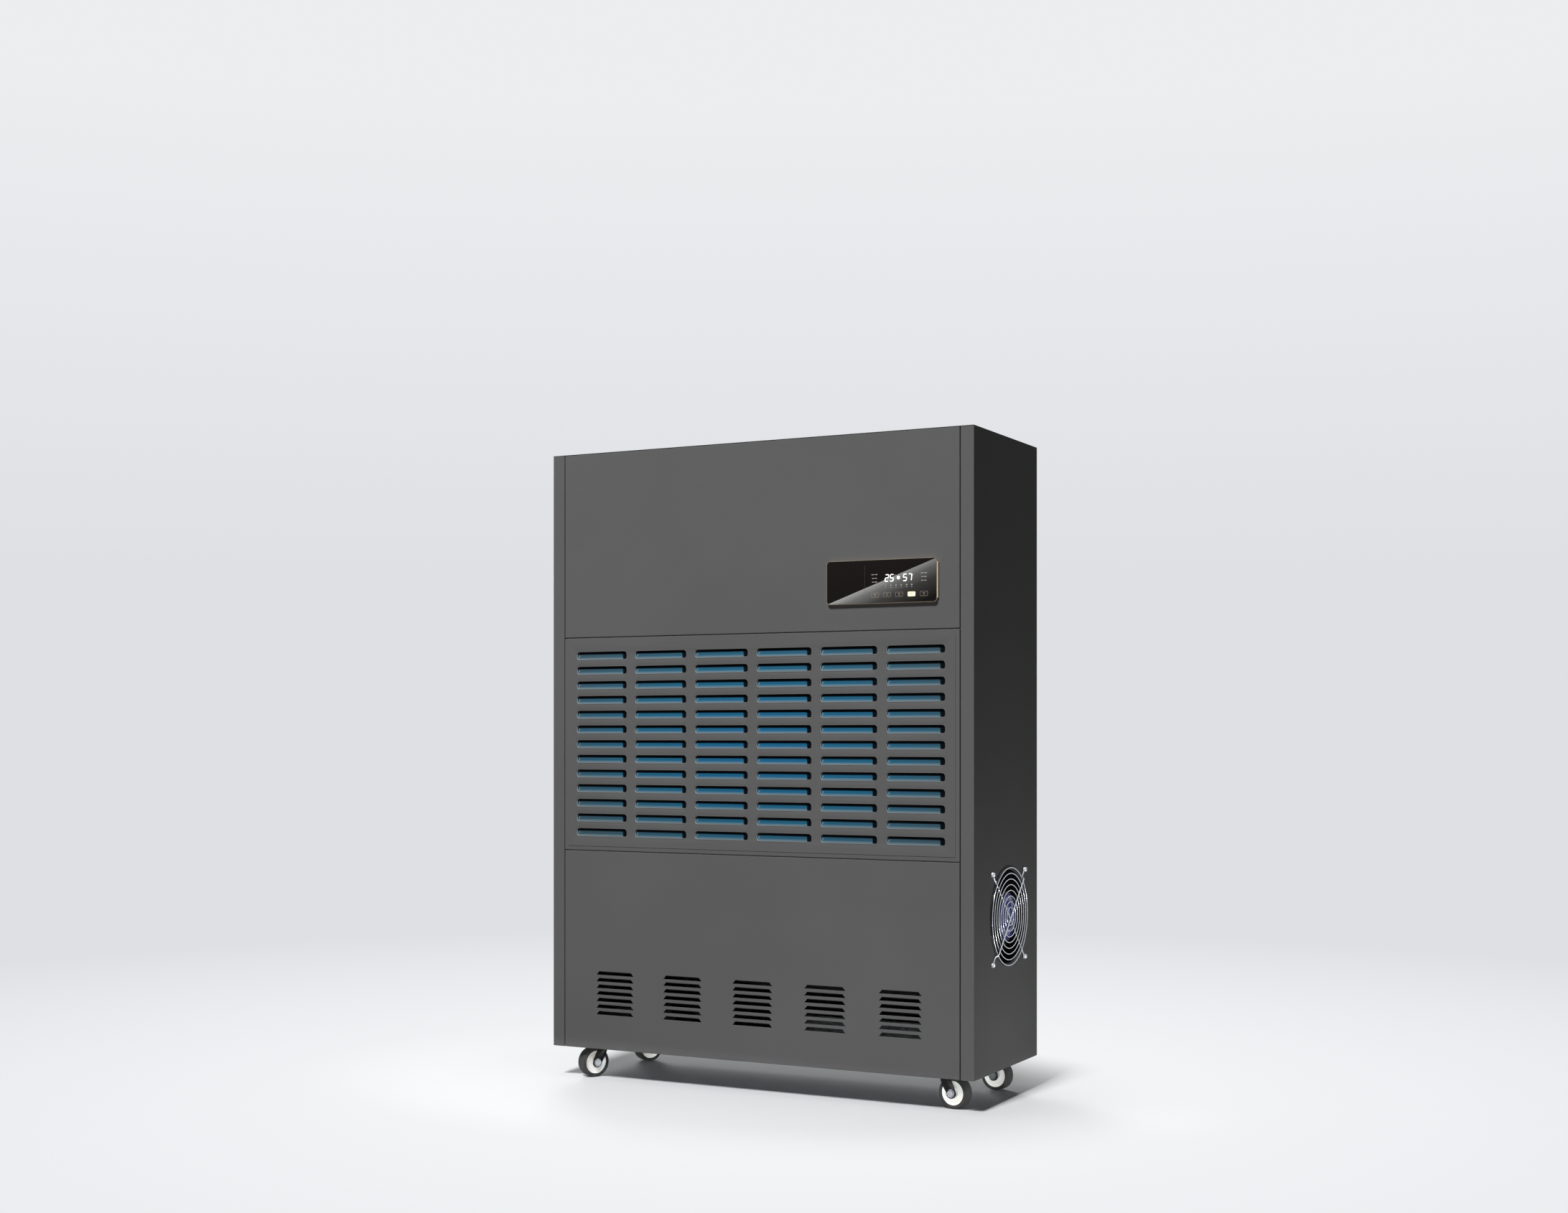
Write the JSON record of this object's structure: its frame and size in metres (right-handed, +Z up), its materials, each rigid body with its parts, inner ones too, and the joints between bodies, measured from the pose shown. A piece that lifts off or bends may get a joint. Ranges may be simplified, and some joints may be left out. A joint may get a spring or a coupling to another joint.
{
  "type": "commercial dehumidifier",
  "caption": "Tall floor-standing cabinet dehumidifier on swivel casters, slotted air intake over a blue filter, louvred lower panel, touch control unit and side fan.",
  "frame": {"origin": "on the floor under the middle of the cabinet", "axes": "+Z up, front faces -Y, +X to the right seen from the front"},
  "size_m": [1.2533, 0.4773, 1.705],
  "materials": {
    "grey_paint": "satin dark grey powder coat",
    "galvanised_steel": "zinc-coated sheet",
    "black_glass": "black back-printed glass, polished",
    "champagne_metal": "champagne anodised",
    "circuit_board": "green laminate",
    "blue_filter_mesh": "blue woven filter mesh",
    "black_plastic": "fine grain",
    "white_nylon": "moulded nylon",
    "tyre_rubber": "smooth black tread",
    "zinc_plate": "bright zinc plate",
    "copper": "drawn copper tube",
    "fin_aluminium": "thin fin stock",
    "brass": "machined brass",
    "black_enamel": "gloss black enamel"
  },
  "bodies": {
    "cabinet": {"left_side_panel": "grey_paint", "right_side_panel": "grey_paint", "rear_panel": "grey_paint", "top_panel": "grey_paint", "upper_front_panel": "grey_paint", "lower_front_panel": "grey_paint", "electrical_box": "grey_paint", "base_tray": "galvanised_steel", "lower_front_rail": "galvanised_steel", "upper_front_rail": "galvanised_steel", "coil_deck": "galvanised_steel", "blower_deck": "galvanised_steel", "condensate_tray": "galvanised_steel", "blower_housing": "galvanised_steel", "outlet_grille": "black_plastic", "side_fan_frame": "black_plastic", "drain_hose": "black_plastic", "mains_gland": "black_plastic", "discharge_pipe": "copper", "suction_pipe": "copper", "liquid_pipe": "copper", "capillary_tube": "copper", "filter_drier": "copper", "evaporator_coil": "fin_aluminium", "condenser_coil": "fin_aluminium", "compressor": "black_enamel", "suction_accumulator": "black_enamel", "side_fan_guard": "zinc_plate", "blower_axle": "zinc_plate", "control_bezel": "champagne_metal", "control_glass": "black_glass", "control_board": "circuit_board", "drain_spigot": "brass", "front_left_caster_plate": "zinc_plate", "front_right_caster_plate": "zinc_plate", "rear_left_caster_plate": "zinc_plate", "rear_right_caster_plate": "zinc_plate"},
    "intake_panel": {"intake_panel": "grey_paint", "filter_frame": "black_plastic", "filter_mesh": "blue_filter_mesh"},
    "blower_wheel": {"blower_wheel": "galvanised_steel"},
    "side_fan_rotor": {"side_fan_rotor": "black_plastic"},
    "front_left_caster_fork": {"front_left_caster_fork": "black_enamel", "front_left_caster_axle": "zinc_plate"},
    "front_left_caster_wheel": {"front_left_caster_hub": "white_nylon", "front_left_caster_tyre": "tyre_rubber"},
    "front_right_caster_fork": {"front_right_caster_fork": "black_enamel", "front_right_caster_axle": "zinc_plate"},
    "front_right_caster_wheel": {"front_right_caster_hub": "white_nylon", "front_right_caster_tyre": "tyre_rubber"},
    "rear_left_caster_fork": {"rear_left_caster_fork": "black_enamel", "rear_left_caster_axle": "zinc_plate"},
    "rear_left_caster_wheel": {"rear_left_caster_hub": "white_nylon", "rear_left_caster_tyre": "tyre_rubber"},
    "rear_right_caster_fork": {"rear_right_caster_fork": "black_enamel", "rear_right_caster_axle": "zinc_plate"},
    "rear_right_caster_wheel": {"rear_right_caster_hub": "white_nylon", "rear_right_caster_tyre": "tyre_rubber"}
  },
  "joints": [
    {"name": "intake_panel_pull", "type": "slide", "parent": "cabinet", "child": "intake_panel", "axis": [0, -1, 0], "range_m": [0, 0.12]},
    {"name": "blower_spin", "type": "hinge", "parent": "cabinet", "child": "blower_wheel", "pos_m": [0, 0.0264, 1.38763], "axis": [1, 0, 0], "continuous": true},
    {"name": "side_fan_spin", "type": "hinge", "parent": "cabinet", "child": "side_fan_rotor", "pos_m": [0.5822, 0.009, 0.473], "axis": [1, 0, 0], "continuous": true},
    {"name": "front_left_swivel", "type": "hinge", "parent": "cabinet", "child": "front_left_caster_fork", "pos_m": [-0.51, -0.145, 0.09], "axis": [0, 0, 1], "continuous": true},
    {"name": "front_left_roll", "type": "hinge", "parent": "front_left_caster_fork", "child": "front_left_caster_wheel", "pos_m": [-0.52394, -0.17156, 0.04], "axis": [0.8854, -0.4648, 0], "continuous": true},
    {"name": "front_right_swivel", "type": "hinge", "parent": "cabinet", "child": "front_right_caster_fork", "pos_m": [0.51, -0.145, 0.09], "axis": [0, 0, 1], "continuous": true},
    {"name": "front_right_roll", "type": "hinge", "parent": "front_right_caster_fork", "child": "front_right_caster_wheel", "pos_m": [0.53972, -0.14907, 0.04], "axis": [0.1357, 0.9907, 0], "continuous": true},
    {"name": "rear_left_swivel", "type": "hinge", "parent": "cabinet", "child": "rear_left_caster_fork", "pos_m": [-0.51, 0.145, 0.09], "axis": [0, 0, 1], "continuous": true},
    {"name": "rear_left_roll", "type": "hinge", "parent": "rear_left_caster_fork", "child": "rear_left_caster_wheel", "pos_m": [-0.52394, 0.11844, 0.04], "axis": [0.8854, -0.4648, 0], "continuous": true},
    {"name": "rear_right_swivel", "type": "hinge", "parent": "cabinet", "child": "rear_right_caster_fork", "pos_m": [0.51, 0.145, 0.09], "axis": [0, 0, 1], "continuous": true},
    {"name": "rear_right_roll", "type": "hinge", "parent": "rear_right_caster_fork", "child": "rear_right_caster_wheel", "pos_m": [0.53972, 0.14093, 0.04], "axis": [0.1357, 0.9907, 0], "continuous": true}
  ]
}
